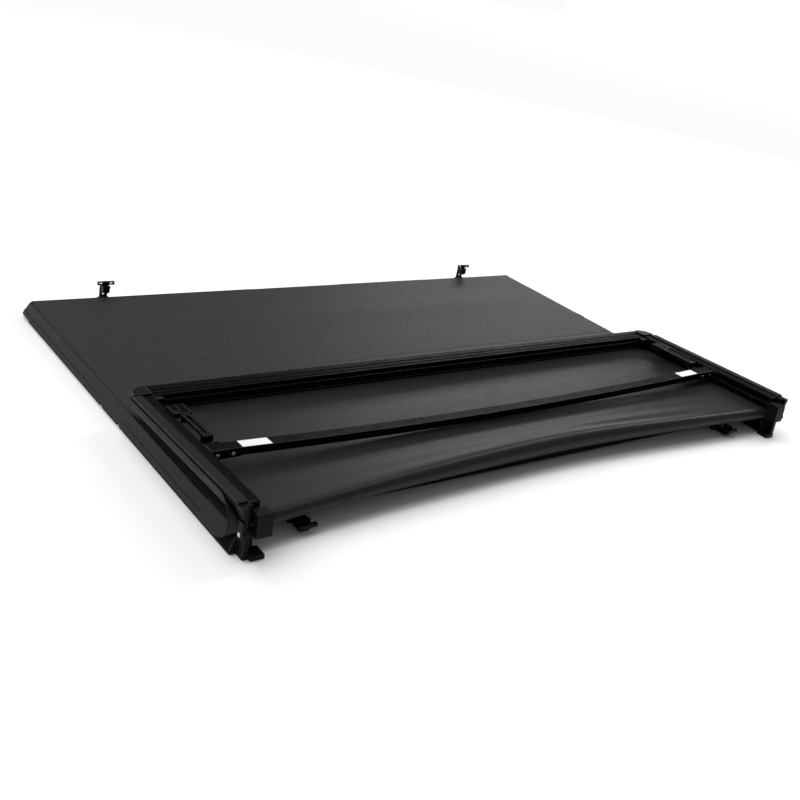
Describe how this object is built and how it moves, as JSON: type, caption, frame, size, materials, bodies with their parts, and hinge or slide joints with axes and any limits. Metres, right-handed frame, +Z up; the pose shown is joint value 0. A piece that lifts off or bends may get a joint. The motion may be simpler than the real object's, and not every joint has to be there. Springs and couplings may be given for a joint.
{
  "type": "soft tri-fold tonneau cover",
  "caption": "Soft folding truck bed cover: vinyl over aluminium frames, hinged panels, crowned bows and screw clamps, shown with its tail panel folded over the middle one.",
  "frame": {"origin": "centre of the base of the whole cover as it lies with its tail panel folded", "axes": "+X across the truck to the right of the view, +Y towards the truck's cab, +Z up"},
  "size_m": [1.504, 1.093, 0.1036],
  "materials": {
    "vinyl": "matte grained black vinyl",
    "frame_metal": "satin black powder coat",
    "hinge_casting": "satin black casting",
    "corner_plastic": "satin moulded plastic",
    "seal": "matte ribbed rubber",
    "clamp_metal": "satin black casting",
    "knob_plastic": "moulded black plastic",
    "steel": "zinc plated",
    "label": "blank white label"
  },
  "bodies": {
    "cab_panel": {"cab_bow": "frame_metal", "cab_bow_screws": "steel", "cab_clamp_hangers": "clamp_metal", "cab_corners": "corner_plastic", "cab_front_rail": "frame_metal", "cab_hem": "vinyl", "cab_hinge_ends": "hinge_casting", "cab_rail_left": "frame_metal", "cab_rail_right": "frame_metal", "cab_seals": "seal", "cab_skin": "vinyl"},
    "fold_link": {"link_arm_left": "frame_metal", "link_arm_right": "frame_metal", "link_hinge_pins": "steel", "link_seals": "seal", "link_skin": "vinyl"},
    "middle_panel": {"fold_hinge_pins": "steel", "fold_skin": "vinyl", "middle_bow": "frame_metal", "middle_bow_screws": "steel", "middle_clamp_hangers": "clamp_metal", "middle_front_bar": "frame_metal", "middle_hem": "vinyl", "middle_hinge_ears": "hinge_casting", "middle_hinge_ends": "hinge_casting", "middle_rail_left": "frame_metal", "middle_rail_right": "frame_metal", "middle_seals": "seal", "middle_skin": "vinyl"},
    "tail_panel": {"tail_bow": "frame_metal", "tail_bow_brackets": "frame_metal", "tail_bow_screws": "steel", "tail_clamp_trays": "clamp_metal", "tail_corners": "corner_plastic", "tail_hem": "vinyl", "tail_hinge_blocks": "hinge_casting", "tail_labels": "label", "tail_rail_left": "frame_metal", "tail_rail_right": "frame_metal", "tail_rear_rail": "frame_metal", "tail_seals": "seal", "tail_skin": "vinyl"},
    "cab_clamp_body_left": {"cab_clamp_body_left": "clamp_metal"},
    "cab_clamp_body_right": {"cab_clamp_body_right": "clamp_metal"},
    "cab_clamp_jaw_left": {"cab_clamp_jaw_left": "clamp_metal"},
    "cab_clamp_jaw_right": {"cab_clamp_jaw_right": "clamp_metal"},
    "cab_clamp_knob_left": {"cab_clamp_knob_left": "knob_plastic"},
    "cab_clamp_knob_right": {"cab_clamp_knob_right": "knob_plastic"},
    "middle_clamp_body_left": {"middle_clamp_body_left": "clamp_metal"},
    "middle_clamp_body_right": {"middle_clamp_body_right": "clamp_metal"},
    "middle_clamp_jaw_left": {"middle_clamp_jaw_left": "clamp_metal"},
    "middle_clamp_jaw_right": {"middle_clamp_jaw_right": "clamp_metal"},
    "middle_clamp_knob_left": {"middle_clamp_knob_left": "knob_plastic"},
    "middle_clamp_knob_right": {"middle_clamp_knob_right": "knob_plastic"},
    "tail_clamp_body_left": {"tail_clamp_body_left": "clamp_metal"},
    "tail_clamp_body_right": {"tail_clamp_body_right": "clamp_metal"},
    "tail_clamp_jaw_left": {"tail_clamp_jaw_left": "clamp_metal"},
    "tail_clamp_jaw_right": {"tail_clamp_jaw_right": "clamp_metal"},
    "tail_clamp_knob_left": {"tail_clamp_knob_left": "knob_plastic"},
    "tail_clamp_knob_right": {"tail_clamp_knob_right": "knob_plastic"}
  },
  "joints": [
    {"name": "link_fold", "type": "hinge", "parent": "cab_panel", "child": "fold_link", "pos_m": [0, 0.04954, 0.0325], "axis": [-1, 0, 0], "range_deg": [0, 90]},
    {"name": "middle_fold", "type": "hinge", "parent": "fold_link", "child": "middle_panel", "pos_m": [0, -0.03846, 0.0325], "axis": [-1, 0, 0], "range_deg": [0, 90]},
    {"name": "tail_fold", "type": "hinge", "parent": "middle_panel", "child": "tail_panel", "pos_m": [0, -0.52846, 0.052], "axis": [1, 0, 0], "range_deg": [0, 181.8], "deforming": ["fold_skin"]},
    {"name": "cab_clamp_swing_left", "type": "hinge", "parent": "cab_panel", "child": "cab_clamp_body_left", "pos_m": [-0.56, 0.54153, 0.027], "axis": [-1, 0, 0], "range_deg": [0, 180]},
    {"name": "cab_clamp_screw_left", "type": "hinge", "parent": "cab_clamp_body_left", "child": "cab_clamp_knob_left", "pos_m": [-0.56, 0.52953, 0.065], "axis": [0, 0, 1], "range_deg": [0, 1980]},
    {"name": "cab_clamp_close_left", "type": "slide", "parent": "cab_clamp_body_left", "child": "cab_clamp_jaw_left", "axis": [0, 0, -1], "range_m": [0, 0.0112]},
    {"name": "cab_clamp_swing_right", "type": "hinge", "parent": "cab_panel", "child": "cab_clamp_body_right", "pos_m": [0.56, 0.54153, 0.027], "axis": [-1, 0, 0], "range_deg": [0, 180]},
    {"name": "cab_clamp_screw_right", "type": "hinge", "parent": "cab_clamp_body_right", "child": "cab_clamp_knob_right", "pos_m": [0.56, 0.52953, 0.065], "axis": [0, 0, 1], "range_deg": [0, 1980]},
    {"name": "cab_clamp_close_right", "type": "slide", "parent": "cab_clamp_body_right", "child": "cab_clamp_jaw_right", "axis": [0, 0, -1], "range_m": [0, 0.0112]},
    {"name": "middle_clamp_swing_left", "type": "hinge", "parent": "middle_panel", "child": "middle_clamp_body_left", "pos_m": [-0.6, -0.45647, 0.007], "axis": [1, 0, 0], "range_deg": [0, 90]},
    {"name": "middle_clamp_screw_left", "type": "hinge", "parent": "middle_clamp_body_left", "child": "middle_clamp_knob_left", "pos_m": [-0.6, -0.49446, 0.019], "axis": [0, -1, 0], "range_deg": [0, 1980]},
    {"name": "middle_clamp_close_left", "type": "slide", "parent": "middle_clamp_body_left", "child": "middle_clamp_jaw_left", "axis": [0, 1, 0], "range_m": [0, 0.0112]},
    {"name": "middle_clamp_swing_right", "type": "hinge", "parent": "middle_panel", "child": "middle_clamp_body_right", "pos_m": [0.6, -0.45647, 0.007], "axis": [1, 0, 0], "range_deg": [0, 90]},
    {"name": "middle_clamp_screw_right", "type": "hinge", "parent": "middle_clamp_body_right", "child": "middle_clamp_knob_right", "pos_m": [0.6, -0.49446, 0.019], "axis": [0, -1, 0], "range_deg": [0, 1980]},
    {"name": "middle_clamp_close_right", "type": "slide", "parent": "middle_clamp_body_right", "child": "middle_clamp_jaw_right", "axis": [0, 1, 0], "range_m": [0, 0.0112]},
    {"name": "tail_clamp_swing_left", "type": "hinge", "parent": "tail_panel", "child": "tail_clamp_body_left", "pos_m": [-0.687, -0.18316, 0.08817], "axis": [-1, 0, 0], "range_deg": [0, 90]},
    {"name": "tail_clamp_screw_left", "type": "hinge", "parent": "tail_clamp_body_left", "child": "tail_clamp_knob_left", "pos_m": [-0.687, -0.28349, 0.07932], "axis": [0, -0.9995, 0.0314], "range_deg": [0, 1980]},
    {"name": "tail_clamp_close_left", "type": "slide", "parent": "tail_clamp_body_left", "child": "tail_clamp_jaw_left", "axis": [0, 0.9995, -0.0314], "range_m": [0, 0.0112]},
    {"name": "tail_clamp_swing_right", "type": "hinge", "parent": "tail_panel", "child": "tail_clamp_body_right", "pos_m": [0.687, -0.18316, 0.08817], "axis": [-1, 0, 0], "range_deg": [0, 90]},
    {"name": "tail_clamp_screw_right", "type": "hinge", "parent": "tail_clamp_body_right", "child": "tail_clamp_knob_right", "pos_m": [0.687, -0.28349, 0.07932], "axis": [0, -0.9995, 0.0314], "range_deg": [0, 1980]},
    {"name": "tail_clamp_close_right", "type": "slide", "parent": "tail_clamp_body_right", "child": "tail_clamp_jaw_right", "axis": [0, 0.9995, -0.0314], "range_m": [0, 0.0112]}
  ],
  "couplings": [
    {"joint": "cab_clamp_close_left", "follows": "cab_clamp_screw_left", "m_per_rad": 0.00031831},
    {"joint": "cab_clamp_close_right", "follows": "cab_clamp_screw_right", "m_per_rad": 0.00031831},
    {"joint": "middle_clamp_close_left", "follows": "middle_clamp_screw_left", "m_per_rad": 0.00031831},
    {"joint": "middle_clamp_close_right", "follows": "middle_clamp_screw_right", "m_per_rad": 0.00031831},
    {"joint": "tail_clamp_close_left", "follows": "tail_clamp_screw_left", "m_per_rad": 0.00031831},
    {"joint": "tail_clamp_close_right", "follows": "tail_clamp_screw_right", "m_per_rad": 0.00031831}
  ]
}
